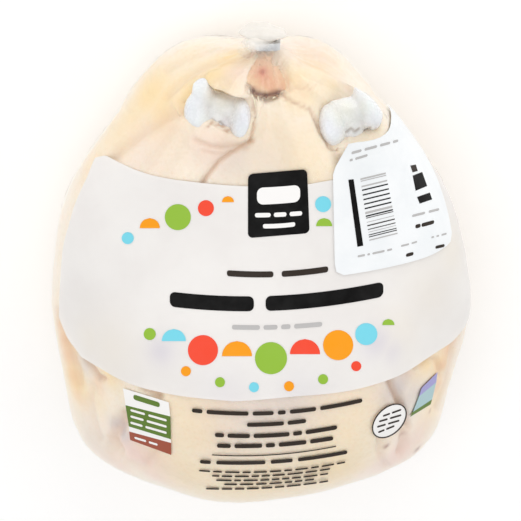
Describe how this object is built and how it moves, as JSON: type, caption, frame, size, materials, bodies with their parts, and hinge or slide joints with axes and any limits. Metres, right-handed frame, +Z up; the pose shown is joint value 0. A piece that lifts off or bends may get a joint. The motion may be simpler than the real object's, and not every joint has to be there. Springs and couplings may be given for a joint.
{
  "type": "bagged whole raw chicken",
  "caption": "Whole raw chicken in a clear shrink bag, lying breast up, gathered and clipped at the tail end, with a printed band and a price label on the film.",
  "frame": {"origin": "centre of the whole seen from above, on the table", "axes": "+Y along the bird from the neck end to the gathered and clipped end of the bag, +Z up through the breast, +X to the right seen from above with +Y up the page"},
  "size_m": [0.1984, 0.2384, 0.1147],
  "materials": {
    "film": "clear glossy shrink film, taut, with fine wrinkles towards the clip",
    "skin": "moist raw chicken skin, cream to pale yellow, with pores and pink patches",
    "bone": "moist bluish-white gristle on the cut hocks",
    "print": "flat inks printed on the film: a white band with coloured shapes and plain bars",
    "clip": "satin crimped aluminium",
    "paper": "white coated label paper with grey and black bars"
  },
  "bodies": {
    "root": {"bagged_chicken": "film", "bag_clip": "clip", "price_label": "paper"}
  },
  "joints": []
}
